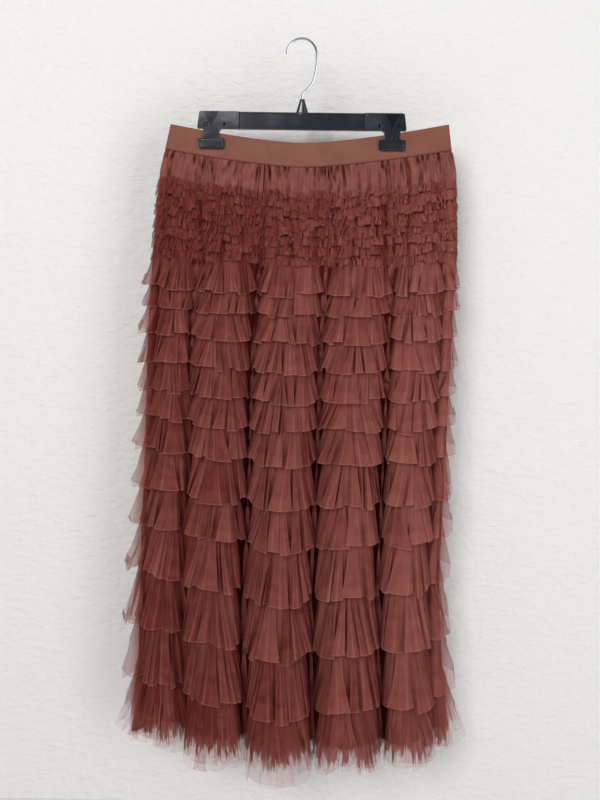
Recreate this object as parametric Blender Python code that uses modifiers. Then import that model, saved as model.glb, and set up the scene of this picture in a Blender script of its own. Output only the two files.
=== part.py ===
"""Tiered ruffle skirt of gathered net, hanging from a clip hanger.

Frame: metres, +Z up, +X to the right of someone who faces the skirt, -Y its front.
Origin: the inside top of the hanger's hook, where the peg carries the load.
"""
import math

import bmesh
import bpy
from mathutils import Vector

# ---- Hanger: driving dimensions ---------------------------------------------
HANGER_CENTRE = 0.0015        # x of the neck and of the middle of the bar
WIRE_RADIUS = 0.0015
HOOK_RADIUS = 0.0217          # centre line of the wire

BAR_LENGTH = 0.305            # a 12 inch skirt hanger
BAR_TOP = -0.1017
BAR_HEIGHT = 0.025
BAR_BOTTOM = BAR_TOP - BAR_HEIGHT
BAR_HALF_DEPTH = 0.0045
RIM = 0.0022                  # edge left standing round the bar's sunk panel
PANEL_SINK = 0.0012
END_ZONE = 0.061              # the front plate of each clip covers this much of the bar
END_SLANT = 0.003             # the bar's ends lean out towards the bottom
END_ROUND = 0.002             # the corners of the bar's ends
INSET = 0.0005                # the thick part of a bar end stays this far inside its plate
JOIN = 0.004                  # the middle of the bar runs on this far into its ends
THROUGH = 0.02                # cuts reach this far either side of the middle plane

NECK_TOP = -0.0831
NECK_HALF_WIDTH = 0.0098
NECK_TOP_RADIUS = 0.0034
NECK_CAP_RADIUS = 0.0039
NECK_CAP_HEIGHT = 0.0032
NECK_FOOT = 0.003             # the neck runs this far down into the bar
SOCKET_RADIUS = 0.0019
SOCKET_DEPTH = 0.012

CLIP_SPACING = 0.264          # between the middles of the two clips
PLATE_FRONT = -0.0075
JAW_FACE = 0.0038             # the two jaws close to this distance from the middle plane
PAD_DEPTH = 0.0095
ARM_WIDTH = 0.0220
JAW_WIDTH = 0.039
JAW_TOP = -0.1393
JAW_BOTTOM = -0.1548
JAW_FLARE = 0.0018            # the arm widens by this much as it meets the jaw
JAW_SHOULDER = 0.0022         # upper corners of the jaw
PAD_SIDE = 0.0025             # the gripping block stays this far inside the jaw's sides
PAD_LIFT = 0.0012             # above its lower edge
PAD_LOWER = 0.0020            # and below its upper edge
PAD_ROUND = 0.0010
CORNER = 0.0042               # its lower corners
FILLET = 0.003

LEVER_TOP = -0.1035
LEVER_WIDTH = 0.0265
LEVER_FRONT = 0.0050
LEVER_BACK = 0.0080
PEG_RADIUS = 0.0016
PEG_HOLE_RADIUS = 0.0032
PEG_OUTWARD = 0.0073          # from the middle of the clip towards the bar's end
PEG_HEIGHT = -0.1205
SLOT_INWARD = 0.0190
SLOT_WIDTH = 0.0028
SLOT_HEIGHT = 0.0060
SLOT_FLOOR = 0.0015           # the slot is cut from the front down to this depth
PEG_ROOT = 0.001              # the peg runs this far into the lever
POCKET_FLOOR = 0.0030         # the spring's pocket is cut down to this depth
POCKET_HEIGHT = 0.018
POCKET_LIP = 0.0035           # left standing above the pocket
SPRING_WIDTH = 0.008
SPRING_TOP = -0.1060
SPRING_BOTTOM = -0.1170
SPRING_BOW = 0.0007
SPRING_THICKNESS = 0.0005

# ---- Skirt: driving dimensions ----------------------------------------------
GAP = 0.0003                  # left between pieces that meet at a seam
BAND_GAP = 0.0005             # between the band and the gathered edge of the base
HEADING_GAP = 0.0008          # under the gathered heading of a ruffle or tier
BAND_TOP = -0.1450            # every height is that of the middle of the front
BAND_BOTTOM = -0.1800
BASE_HEM = -1.0700
BAND_WALL = 0.0015
BASE_WALL = 0.0015
RUFFLE_WALL = 0.0012
TIER_WALL = 0.0015
SAG_POWER = 1.45              # how fast a ring climbs from under the hook to the side seams
FOLD_ROUNDNESS = 0.6
FULL_COLUMN = 0.36            # a narrower column than this share of the half width rises less
FLARE_POWER = 5               # a hem stands forward in its middle and sideways at its ends

RUFFLE_COUNT = 8              # narrow dense ruffles of the yoke
RUFFLE_FIRST_TOP = -0.2085
RUFFLE_PITCH = 0.01375
RUFFLE_DROP = 0.0185
RUFFLE_FLARE = 0.0060
FIRST_TIER_TOP = -0.3185
TIER_OVERLAP = 0.012          # each tier hangs this far over the next one's heading

# One row for each height at which the outline of the plain base is set.
SECTIONS = (
    # height, half width, centre x, half depth, fold depth, roundness, sag
    (-0.1450, 0.2035, 0.0130, 0.0035, 0.0000, 30.0, 0.0270),
    (-0.1800, 0.2105, 0.0115, 0.0035, 0.0000, 30.0, 0.0255),
    (-0.2085, 0.2170, 0.0110, 0.0110, 0.0020, 10.0, 0.0240),
    (-0.3185, 0.2260, 0.0080, 0.0200, 0.0070, 5.0, 0.0140),
    (-0.4200, 0.2290, 0.0020, 0.0270, 0.0125, 4.0, 0.0120),
    (-0.6200, 0.2320, -0.0030, 0.0320, 0.0175, 3.5, 0.0140),
    (-0.8500, 0.2370, -0.0100, 0.0345, 0.0195, 3.0, 0.0300),
    (-1.1200, 0.2500, -0.0040, 0.0370, 0.0205, 3.0, 0.0350),
)

# One row for each tier below the yoke.
TIERS = (
    # height of the hem, how far the hem stands out from the base
    (-0.364, 0.012),
    (-0.394, 0.012),
    (-0.432, 0.013),
    (-0.476, 0.014),
    (-0.519, 0.014),
    (-0.563, 0.015),
    (-0.612, 0.016),
    (-0.677, 0.017),
    (-0.740, 0.018),
    (-0.821, 0.020),
    (-0.911, 0.021),
    (-1.003, 0.022),
    (-1.113, 0.028),
)

# One row for each deep fold, from the left side seam to the right one.
FRONT_FOLDS = (
    # place across the half width, facets of the column that follows it
    (-1.00, 1),
    (-0.94, 2),
    (-0.70, 4),
    (-0.30, 4),
    (0.15, 4),
    (0.57, 3),
    (0.93, 1),
    (1.00, 0),
)
BACK_FOLDS = (
    # place across the half width, facets of the column that follows it
    (-1.00, 1),
    (-0.93, 3),
    (-0.52, 4),
    (-0.10, 4),
    (0.34, 4),
    (0.74, 2),
    (0.94, 1),
    (1.00, 0),
)

# Shank of the hook, from its round top down to the neck.
HOOK_SHANK = (
    # across, height
    (0.0217, -0.0202),
    (0.0219, -0.0300),
    (0.0209, -0.0405),
    (0.0189, -0.0510),
    (0.0154, -0.0606),
    (0.0092, -0.0680),
    (0.0036, -0.0734),
    (0.0016, -0.0780),
    (0.0015, -0.0820),
)


# ---- Scene, collections and materials ---------------------------------------

def empty_the_scene():
    for thing in list(bpy.data.objects):
        bpy.data.objects.remove(thing, do_unlink=True)


def new_collection(name):
    collection = bpy.data.collections.new(name)
    bpy.context.scene.collection.children.link(collection)
    return collection


def new_material(name, colour, roughness, metallic):
    material = bpy.data.materials.new(name)
    material.use_nodes = True
    shader = material.node_tree.nodes["Principled BSDF"]
    shader.inputs["Base Color"].default_value = (*colour, 1.0)
    shader.inputs["Roughness"].default_value = roughness
    shader.inputs["Metallic"].default_value = metallic
    return material


empty_the_scene()
PARTS = new_collection("tiered_ruffle_skirt_on_clip_hanger")
CUTTERS = new_collection("cutters")
BLACK_PLASTIC = new_material("black plastic", (0.012, 0.013, 0.016), 0.22, 0.0)
BRIGHT_WIRE = new_material("bright wire", (0.62, 0.62, 0.63), 0.25, 1.0)
SPRING_STEEL = new_material("spring steel", (0.45, 0.45, 0.47), 0.35, 1.0)
ELASTIC = new_material("elastic webbing", (0.255, 0.092, 0.068), 0.75, 0.0)
GATHERED_CLOTH = new_material("gathered base cloth", (0.235, 0.080, 0.062), 0.85, 0.0)
NET = new_material("gathered net", (0.190, 0.058, 0.050), 0.80, 0.0)


def keep(thing, material):
    """Make an object one of the parts."""
    PARTS.objects.link(thing)
    thing.data.materials.append(material)
    return thing


def keep_as_tool(thing):
    """Make an object a shape that others are cut with or joined to."""
    CUTTERS.objects.link(thing)
    thing.hide_render = True
    thing.display_type = 'WIRE'
    return thing


def finished(name, bm):
    """Turn a bmesh into an object, with its faces pointing outwards."""
    bmesh.ops.recalc_face_normals(bm, faces=bm.faces)
    mesh = bpy.data.meshes.new(name)
    bm.to_mesh(mesh)
    bm.free()
    return bpy.data.objects.new(name, mesh)


def combine(target, tool, operation):
    """Join a tool's shape to the target, or cut it out."""
    boolean = target.modifiers.new(tool.name, 'BOOLEAN')
    boolean.operation = operation
    boolean.solver = 'EXACT'
    boolean.object = tool


# ---- Plain shapes -----------------------------------------------------------

def block(name, low, high, bevel):
    """A block between two corners, with its edges rounded."""
    low = Vector(low)
    high = Vector(high)
    bm = bmesh.new()
    bmesh.ops.create_cube(bm, size=1.0)
    bmesh.ops.scale(bm, vec=high - low, verts=bm.verts)
    bmesh.ops.translate(bm, vec=(low + high) / 2, verts=bm.verts)
    if bevel:
        bmesh.ops.bevel(bm, geom=bm.edges[:], offset=bevel, segments=2, profile=0.5, affect='EDGES')
    return finished(name, bm)


def rod(name, start, end, radius):
    """A round rod between two points."""
    start = Vector(start)
    end = Vector(end)
    bm = bmesh.new()
    bmesh.ops.create_cone(bm, cap_ends=True, segments=20, radius1=radius, radius2=radius,
                          depth=(end - start).length)
    turn = (end - start).to_track_quat('Z', 'Y').to_matrix()
    bmesh.ops.rotate(bm, matrix=turn, verts=bm.verts)
    bmesh.ops.translate(bm, vec=(start + end) / 2, verts=bm.verts)
    return finished(name, bm)


def plate(name, outline, front, back):
    """A flat outline in X and Z, pushed out from one depth to another."""
    bm = bmesh.new()
    face = bm.faces.new([bm.verts.new((x, front, z)) for x, z in outline])
    pushed = bmesh.ops.extrude_face_region(bm, geom=[face])
    far_side = [part for part in pushed["geom"] if isinstance(part, bmesh.types.BMVert)]
    bmesh.ops.translate(bm, vec=(0, back - front, 0), verts=far_side)
    return finished(name, bm)


def arc(centre, radius, start, end, steps=4):
    """Points round a corner, between two angles in degrees."""
    angles = [math.radians(start + (end - start) * step / steps) for step in range(steps + 1)]
    return [(centre[0] + radius * math.cos(angle), centre[1] + radius * math.sin(angle))
            for angle in angles]


# ---- Hanger -----------------------------------------------------------------

def smooth_curve(points, steps=4):
    """Points on a Catmull-Rom curve through the given ones."""
    padded = [2 * points[0] - points[1], *points, 2 * points[-1] - points[-2]]
    result = []
    for before, start, end, after in zip(padded, padded[1:], padded[2:], padded[3:]):
        for step in range(steps):
            t = step / steps
            result.append(0.5 * (2 * start + (end - before) * t
                                 + (2 * before - 5 * start + 4 * end - after) * t ** 2
                                 + (3 * start - before - 3 * end + after) * t ** 3))
    return [*result, points[-1]]


def make_hook():
    """One bent wire: a round top, a swept shank and a straight end in the neck."""
    route = [Vector((x, 0, z)) for x, z in HOOK_SHANK]
    foot = NECK_TOP - SOCKET_DEPTH + GAP
    centre = (0.0, WIRE_RADIUS - HOOK_RADIUS)
    round_top = [Vector((x, 0, z)) for x, z in arc(centre, HOOK_RADIUS, 180, 0, 18)]
    path = round_top[:-1] + smooth_curve(route) + [Vector((HANGER_CENTRE, 0, foot))]
    curve = bpy.data.curves.new("hanger_hook", 'CURVE')
    curve.dimensions = '3D'
    curve.bevel_depth = WIRE_RADIUS
    curve.bevel_resolution = 2
    curve.use_fill_caps = True
    spline = curve.splines.new('POLY')
    spline.points.add(len(path) - 1)
    for point, place in zip(spline.points, path):
        point.co = (*place, 1.0)
    keep(bpy.data.objects.new("hanger_hook", curve), BRIGHT_WIRE)


def arm_and_jaw(middle):
    """Outline of a clip below the bar: down its right side, round the jaw and up the left."""
    arm = ARM_WIDTH / 2
    jaw = JAW_WIDTH / 2
    right = arc((arm + FILLET, BAR_BOTTOM - FILLET), FILLET, 90, 180)
    right += [(arm, JAW_TOP + JAW_FLARE), (arm + JAW_FLARE, JAW_TOP)]
    shoulder = (jaw - JAW_SHOULDER, JAW_TOP - JAW_SHOULDER)
    right += arc(shoulder, JAW_SHOULDER, 90, 0, 3)
    right += arc((jaw - CORNER, JAW_BOTTOM + CORNER), CORNER, 0, -90)
    left = [(-x, z) for x, z in reversed(right)]
    return [(middle + x, z) for x, z in right + left]


def on_side(side, outline):
    """Put an outline drawn for the right end of the hanger on either end."""
    return [(HANGER_CENTRE + side * x, z) for x, z in outline]


def front_plate_outline():
    """Right end of the bar's front, with its slanted end, the arm and the jaw."""
    inner = BAR_LENGTH / 2 - END_ZONE
    outer = BAR_LENGTH / 2
    top = [(inner, BAR_TOP), (outer - END_SLANT - END_ROUND, BAR_TOP)]
    end = [(outer - END_SLANT, BAR_TOP - END_ROUND), (outer, BAR_BOTTOM + END_ROUND),
           (outer - END_ROUND, BAR_BOTTOM)]
    return top + end + arm_and_jaw(CLIP_SPACING / 2) + [(inner, BAR_BOTTOM)]


def bar_end_outline():
    """The thick part of the bar behind the front plate."""
    inner = BAR_LENGTH / 2 - END_ZONE + INSET
    outer = BAR_LENGTH / 2 - INSET
    return [(inner, BAR_TOP - INSET), (outer - END_SLANT, BAR_TOP - INSET),
            (outer, BAR_BOTTOM + INSET), (inner, BAR_BOTTOM + INSET)]


def lever_outline():
    """The back half of a clip: a thumb tab above the arm and the jaw."""
    middle = CLIP_SPACING / 2
    half = LEVER_WIDTH / 2
    tab = [(middle - half, BAR_BOTTOM), (middle - half, LEVER_TOP),
           (middle + half, LEVER_TOP), (middle + half, BAR_BOTTOM)]
    return tab + arm_and_jaw(middle)


def jaw_pad(name, side, near, far):
    """The thick gripping block of a jaw."""
    middle = HANGER_CENTRE + side * CLIP_SPACING / 2
    half = JAW_WIDTH / 2 - PAD_SIDE
    low = (middle - half, min(near, far), JAW_BOTTOM + PAD_LIFT)
    high = (middle + half, max(near, far), JAW_TOP - PAD_LOWER)
    return block(name, low, high, PAD_ROUND)


def make_beam():
    """Middle of the bar, with a sunk panel inside a rim at the front and the back."""
    reach = BAR_LENGTH / 2 - END_ZONE + JOIN
    bm = bmesh.new()
    bmesh.ops.create_cube(bm, size=1.0)
    size = (2 * reach, 2 * BAR_HALF_DEPTH, BAR_HEIGHT - 2 * GAP)
    bmesh.ops.scale(bm, vec=size, verts=bm.verts)
    bmesh.ops.translate(bm, vec=(HANGER_CENTRE, 0, (BAR_TOP + BAR_BOTTOM) / 2), verts=bm.verts)
    panels = [face for face in bm.faces if abs(face.normal.y) > 0.9]
    bmesh.ops.inset_individual(bm, faces=panels, thickness=RIM, depth=0.0)
    bmesh.ops.inset_individual(bm, faces=panels, thickness=PANEL_SINK / 2, depth=-PANEL_SINK)
    return finished("hanger_bar", bm)


def make_neck():
    """A cone, round at its top and as flat as the bar at its foot, under a small cap."""
    foot = BAR_TOP - NECK_FOOT
    bm = bmesh.new()
    bmesh.ops.create_cone(bm, cap_ends=True, segments=24, radius1=1.0, radius2=1.0,
                          depth=NECK_TOP - foot - GAP)
    for corner in bm.verts:
        at_foot = corner.co.z < 0
        corner.co.x *= NECK_HALF_WIDTH if at_foot else NECK_TOP_RADIUS
        corner.co.y *= BAR_HALF_DEPTH - GAP if at_foot else NECK_TOP_RADIUS
    middle = (NECK_TOP + foot - GAP) / 2
    bmesh.ops.translate(bm, vec=(HANGER_CENTRE, 0, middle), verts=bm.verts)
    return finished("neck_cone", bm)


def make_bar():
    """The bar is one moulding with its neck and the front halves of both clips."""
    bar = keep(make_beam(), BLACK_PLASTIC)
    neck_axis = (HANGER_CENTRE, 0)
    cap = rod("neck_cap", (*neck_axis, NECK_TOP - NECK_CAP_HEIGHT), (*neck_axis, NECK_TOP),
              NECK_CAP_RADIUS)
    joined = [make_neck(), cap]
    socket = rod("wire_socket", (*neck_axis, NECK_TOP - SOCKET_DEPTH),
                 (*neck_axis, NECK_TOP + SOCKET_DEPTH), SOCKET_RADIUS)
    cut = [socket]
    for end, side in (("left", -1), ("right", 1)):
        front = on_side(side, front_plate_outline())
        joined.append(plate("front_plate_" + end, front, PLATE_FRONT, -JAW_FACE))
        thick = on_side(side, bar_end_outline())
        joined.append(plate("bar_end_" + end, thick, PLATE_FRONT + INSET, BAR_HALF_DEPTH))
        joined.append(jaw_pad("front_pad_" + end, side, -JAW_FACE - INSET, -PAD_DEPTH))
        middle = CLIP_SPACING / 2
        peg_x = HANGER_CENTRE + side * (middle + PEG_OUTWARD)
        cut.append(rod("peg_hole_" + end, (peg_x, -THROUGH, PEG_HEIGHT),
                       (peg_x, THROUGH, PEG_HEIGHT), PEG_HOLE_RADIUS))
        slot_x = HANGER_CENTRE + side * (middle - SLOT_INWARD)
        low = (slot_x - SLOT_WIDTH / 2, -THROUGH, PEG_HEIGHT - SLOT_HEIGHT / 2)
        high = (slot_x + SLOT_WIDTH / 2, SLOT_FLOOR, PEG_HEIGHT + SLOT_HEIGHT / 2)
        cut.append(block("slot_" + end, low, high, 0))
        pocket_x = HANGER_CENTRE + side * middle
        low = (pocket_x - LEVER_WIDTH / 2, POCKET_FLOOR, LEVER_TOP - POCKET_HEIGHT)
        high = (pocket_x + LEVER_WIDTH / 2, THROUGH, BAR_TOP - POCKET_LIP)
        cut.append(block("spring_pocket_" + end, low, high, 0))
    for tool in joined:
        combine(bar, keep_as_tool(tool), 'UNION')
    for tool in cut:
        combine(bar, keep_as_tool(tool), 'DIFFERENCE')


def make_lever(end, side):
    """Back half of a clip: a flat lever with its jaw and the peg it turns on."""
    outline = on_side(side, lever_outline())
    lever = keep(plate("clip_lever_" + end, outline, LEVER_FRONT, LEVER_BACK), BLACK_PLASTIC)
    pad = jaw_pad("back_pad_" + end, side, JAW_FACE, PAD_DEPTH)
    peg_x = HANGER_CENTRE + side * (CLIP_SPACING / 2 + PEG_OUTWARD)
    peg = rod("peg_" + end, (peg_x, PLATE_FRONT + GAP, PEG_HEIGHT),
              (peg_x, LEVER_FRONT + PEG_ROOT, PEG_HEIGHT), PEG_RADIUS)
    combine(lever, keep_as_tool(pad), 'UNION')
    combine(lever, keep_as_tool(peg), 'UNION')


def make_spring(end, side):
    """A bowed steel leaf between the bar and the lever's thumb tab."""
    middle = HANGER_CENTRE + side * CLIP_SPACING / 2
    resting = POCKET_FLOOR + GAP
    bm = bmesh.new()
    steps = 8
    rows = []
    for step in range(steps + 1):
        share = step / steps
        depth = resting + SPRING_BOW * math.sin(math.pi * share)
        height = SPRING_TOP + (SPRING_BOTTOM - SPRING_TOP) * share
        rows.append([bm.verts.new((middle + edge * SPRING_WIDTH / 2, depth, height))
                     for edge in (-1, 1)])
    for upper, lower in zip(rows, rows[1:]):
        bm.faces.new((upper[0], upper[1], lower[1], lower[0]))
    leaf = finished("clip_spring_" + end, bm)
    if leaf.data.polygons[0].normal.y < 0:
        leaf.data.flip_normals()
    leaf = keep(leaf, SPRING_STEEL)
    solidify = leaf.modifiers.new("Thickness", 'SOLIDIFY')
    solidify.thickness = SPRING_THICKNESS
    solidify.offset = 1.0


# ---- Skirt: the rings that its walls are lofted through ----------------------

def section_at(height):
    """The outline's sizes at a height, read between the rows of SECTIONS."""
    rows = list(zip(SECTIONS, SECTIONS[1:]))
    for upper, lower in rows:
        if height >= lower[0] or (upper, lower) == rows[-1]:
            share = (height - upper[0]) / (lower[0] - upper[0])
            return [a + (b - a) * share for a, b in zip(upper, lower)]


def fold_points(folds):
    """Points across one panel, as (place across, lift): -1 in a fold and 1 on a crest."""
    points = []
    for (start, facets), (end, _) in zip(folds, folds[1:]):
        crest = 2 * min(1.0, (end - start) / FULL_COLUMN)
        for facet in range(facets):
            share = facet / facets
            lift = crest * math.sin(math.pi * share) ** FOLD_ROUNDNESS - 1
            points.append((start + (end - start) * share, lift))
    return [*points, (1.0, -1.0)]


def panel_ring(height, folds, facing, stand_out=0.0):
    """One panel's edge from the left seam to the right one; facing is -1 at the front."""
    _, half_width, centre, half_depth, fold_depth, roundness, sag = section_at(height)
    ring = []
    for across, lift in fold_points(folds):
        swell = math.sqrt(1 - abs(across) ** roundness)
        depth = (half_depth + fold_depth * lift + stand_out) * swell
        from_hook = centre - HANGER_CENTRE + half_width * across
        climb = sag * (abs(from_hook) / half_width) ** SAG_POWER
        place_across = centre + half_width * across + stand_out * across ** FLARE_POWER
        ring.append(Vector((place_across, facing * depth, height + climb)))
    return ring


def full_ring(height, stand_out=0.0):
    """The whole way round, counterclockwise from above, from the left seam along the front."""
    front = panel_ring(height, FRONT_FOLDS, -1, stand_out)
    back = panel_ring(height, BACK_FOLDS, 1, stand_out)
    return front[:-1] + back[:0:-1]


def moved_out(ring, distance):
    """A closed ring moved sideways along its own normals, keeping the wall's thickness."""
    result = []
    for index, point in enumerate(ring):
        before = (point - ring[index - 1]).to_2d().normalized()
        after = (ring[(index + 1) % len(ring)] - point).to_2d().normalized()
        first = Vector((before.y, -before.x))
        second = Vector((after.y, -after.x))
        middle = (first + second).normalized()
        reach = distance / max(middle.dot(first), 0.75)
        result.append(point + Vector((*(middle * reach), 0)))
    return result


def base_heights():
    """Heights of the base's rings: its seam, the headings that it carries and its hem."""
    ruffles = ruffle_tops()[::2]
    tiers = tier_tops()
    return [BAND_BOTTOM - BAND_GAP, *ruffles, *tiers, BASE_HEM]


def base_ring(height):
    """The base's outside at a height, between the rings that it is lofted through."""
    heights = base_heights()
    for upper, lower in zip(heights, heights[1:]):
        if height >= lower:
            share = (height - upper) / (lower - upper)
            return [a.lerp(b, share) for a, b in zip(full_ring(upper), full_ring(lower))]
    return full_ring(height)


def ruffle_tops():
    return [RUFFLE_FIRST_TOP - RUFFLE_PITCH * number for number in range(RUFFLE_COUNT)]


def tier_tops():
    """Each tier is sewn on just above the hem of the tier over it."""
    return [FIRST_TIER_TOP] + [hem + TIER_OVERLAP for hem, _ in TIERS[:-1]]


# ---- Skirt: its walls -------------------------------------------------------

def wall(name, outside, inside, closed, material):
    """A cloth wall lofted through rings, from the top to the hem."""
    bm = bmesh.new()
    skins = [[[bm.verts.new(point) for point in ring] for ring in skin]
             for skin in (outside, inside)]
    count = len(outside[0])
    steps = [(index, (index + 1) % count) for index in range(count if closed else count - 1)]
    for skin in skins:
        for upper, lower in zip(skin, skin[1:]):
            for here, beside in steps:
                bm.faces.new((upper[here], lower[here], lower[beside], upper[beside]))
    outer, inner = skins
    for level in (0, -1):
        for here, beside in steps:
            bm.faces.new((outer[level][here], outer[level][beside],
                          inner[level][beside], inner[level][here]))
    if not closed:
        for seam in (0, -1):
            for row in range(len(outer) - 1):
                bm.faces.new((outer[row][seam], outer[row + 1][seam],
                              inner[row + 1][seam], inner[row][seam]))
    keep(finished(name, bm), material)


def make_band():
    """A ring of flat elastic webbing."""
    rings = [full_ring(BAND_TOP), full_ring(BAND_BOTTOM)]
    inside = [moved_out(ring, -BAND_WALL) for ring in rings]
    wall("waistband", rings, inside, True, ELASTIC)


def make_base():
    """Front and back panels, gathered into the band and open at the hem."""
    rings = [full_ring(height) for height in base_heights()]
    inside = [moved_out(ring, -BASE_WALL) for ring in rings]
    seam = len(fold_points(FRONT_FOLDS)) - 1
    for name, facing in (("base_front", -1), ("base_back", 1)):
        skins = []
        for skin in (rings, inside):
            panel = []
            for ring in skin:
                half = ring[:seam + 1] if facing < 0 else ring[seam:] + ring[:1]
                ends = [point + Vector((0, facing * GAP / 2, 0)) for point in (half[0], half[-1])]
                panel.append([ends[0], *half[1:-1], ends[1]])
            skins.append(panel)
        wall(name, skins[0], skins[1], False, GATHERED_CLOTH)


def make_flounce(name, top, hem, flare, thickness):
    """A strip gathered on the base along its top edge, standing out at its hem."""
    heading = moved_out(base_ring(top), HEADING_GAP)
    edge = full_ring(hem, flare)
    inside = [heading, edge]
    outside = [moved_out(ring, thickness) for ring in inside]
    wall(name, outside, inside, True, NET)


def make_skirt():
    make_band()
    make_base()
    for number, top in enumerate(ruffle_tops(), 1):
        hem = top - RUFFLE_DROP
        make_flounce(f"yoke_ruffle_{number:02d}", top, hem, RUFFLE_FLARE, RUFFLE_WALL)
    for number, (top, (hem, flare)) in enumerate(zip(tier_tops(), TIERS), 1):
        make_flounce(f"tier_{number:02d}", top, hem, flare, TIER_WALL)


make_hook()
make_bar()
for end_name, end_side in (("left", -1), ("right", 1)):
    make_lever(end_name, end_side)
    make_spring(end_name, end_side)
make_skirt()
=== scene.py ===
"""Looks of the tiered ruffle skirt on its clip hanger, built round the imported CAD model."""

import math

import bpy
import numpy as np
from mathutils import Matrix, Vector


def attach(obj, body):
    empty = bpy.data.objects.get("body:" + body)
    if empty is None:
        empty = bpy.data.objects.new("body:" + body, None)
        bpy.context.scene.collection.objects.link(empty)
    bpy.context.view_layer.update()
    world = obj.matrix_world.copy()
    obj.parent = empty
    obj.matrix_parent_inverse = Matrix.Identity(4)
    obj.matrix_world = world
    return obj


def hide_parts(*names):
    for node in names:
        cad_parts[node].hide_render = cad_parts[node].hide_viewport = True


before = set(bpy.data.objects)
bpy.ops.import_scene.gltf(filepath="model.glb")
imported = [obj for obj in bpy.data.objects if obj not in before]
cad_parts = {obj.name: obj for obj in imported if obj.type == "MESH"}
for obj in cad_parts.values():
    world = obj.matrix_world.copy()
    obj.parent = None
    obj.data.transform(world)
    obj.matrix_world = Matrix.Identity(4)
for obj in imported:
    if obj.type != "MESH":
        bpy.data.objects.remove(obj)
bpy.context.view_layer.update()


# ---- Camera, lights and studio ----------------------------------------------
# The camera stands about 1.4 m in front, a little above the middle of the skirt, and looks
# slightly down. A large soft light stands up and to the left and a weaker one low on the
# right, and a pale wall and floor throw light back.

camera_place = (0.0039, -1.3934, -0.2936)
degrees_down, degrees_rolled = 9.5, 0.74
skirt_middle = (0.0, 0.0, -0.6)

view = bpy.data.cameras.new("view")
view.lens = 41.4
view.sensor_width = 36.0
camera = bpy.data.objects.new("camera", view)
bpy.context.scene.collection.objects.link(camera)
camera.matrix_world = (
    Matrix.Translation(camera_place)
    @ Matrix.Rotation(math.radians(90 - degrees_down), 4, "X")
    @ Matrix.Rotation(math.radians(degrees_rolled), 4, "Z")
)
bpy.context.scene.camera = camera


def soft_light(name, place, size, power, colour):
    """A rectangular light that faces the middle of the skirt."""
    lamp = bpy.data.lights.new(name, "AREA")
    lamp.shape, lamp.size, lamp.size_y = "RECTANGLE", *size
    lamp.energy, lamp.color = power, colour
    holder = bpy.data.objects.new(name, lamp)
    bpy.context.scene.collection.objects.link(holder)
    facing = (Vector(skirt_middle) - Vector(place)).to_track_quat("-Z", "Y")
    holder.matrix_world = Matrix.Translation(place) @ facing.to_matrix().to_4x4()


soft_light("window_light", (-0.80, -2.6, 0.84), (1.1, 0.9), 57, (1.0, 0.985, 0.97))
soft_light("fill_light", (1.7, -2.2, -0.3), (1.3, 2.0), 27, (0.98, 0.99, 1.0))

bpy.context.scene.view_settings.view_transform = "Standard"


class Dye:
    """A number or colour in a material's nodes; arithmetic on it adds Math nodes."""

    def __init__(self, tree, socket=None):
        self.tree, self.socket = tree, socket

    def made_by(self, kind, settings, sockets, result=0):
        """Any node: its type, its settings, what its sockets take and the result to keep."""
        node = self.tree.nodes.new("ShaderNode" + kind)
        for name, value in settings.items():
            setattr(node, name, value)
        for name, value in sockets.items():
            if isinstance(value, Dye):
                self.tree.links.new(value.socket, node.inputs[name])
            else:
                node.inputs[name].default_value = value
        return Dye(self.tree, node.outputs[result])

    def math(self, operation, *values):
        return self.made_by("Math", {"operation": operation}, dict(enumerate(values)))

    def __add__(self, other):
        return self.math("ADD", self, other)

    def __sub__(self, other):
        return self.math("SUBTRACT", self, other)

    def __rsub__(self, other):
        return self.math("SUBTRACT", other, self)

    def __mul__(self, other):
        return self.math("MULTIPLY", self, other)

    __radd__, __rmul__ = __add__, __mul__

    def between(self, low, high):
        """0 below low, 1 above high, and smooth in between."""
        return self.made_by(
            "MapRange", {"interpolation_type": "SMOOTHSTEP"}, {0: self, 1: low, 2: high}
        )

    def blend(self, first, second):
        """The first colour where this is 0 and the second where it is 1."""
        return self.made_by("Mix", {"data_type": "RGBA"}, {0: self, 6: first, 7: second}, 2)


def finish_named(name, **constants):
    """A new material, its shader, and an empty Dye to start its nodes from."""
    material = bpy.data.materials.new(name)
    material.use_nodes = True
    shader = material.node_tree.nodes["Principled BSDF"]
    for socket, value in constants.items():
        shader.inputs[socket.replace("_", " ")].default_value = value
    return material, shader, Dye(material.node_tree)


def feed(shader, **values):
    """Links each value to the shader's socket of that name."""
    for socket, value in values.items():
        value.tree.links.new(value.socket, shader.inputs[socket.replace("_", " ")])


sky = bpy.data.worlds.new("studio_air")
sky.use_nodes = True
air = Dye(sky.node_tree)
seen = air.made_by("LightPath", {}, {})
air_light = sky.node_tree.nodes["Background"]
air_light.inputs["Color"].default_value = (0.93, 0.94, 0.96, 1)
air_glow, air_seen = 0.19, 0.68
sky.node_tree.links.new((air_glow + seen * air_seen).socket, air_light.inputs["Strength"])
bpy.context.scene.world = sky

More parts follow.
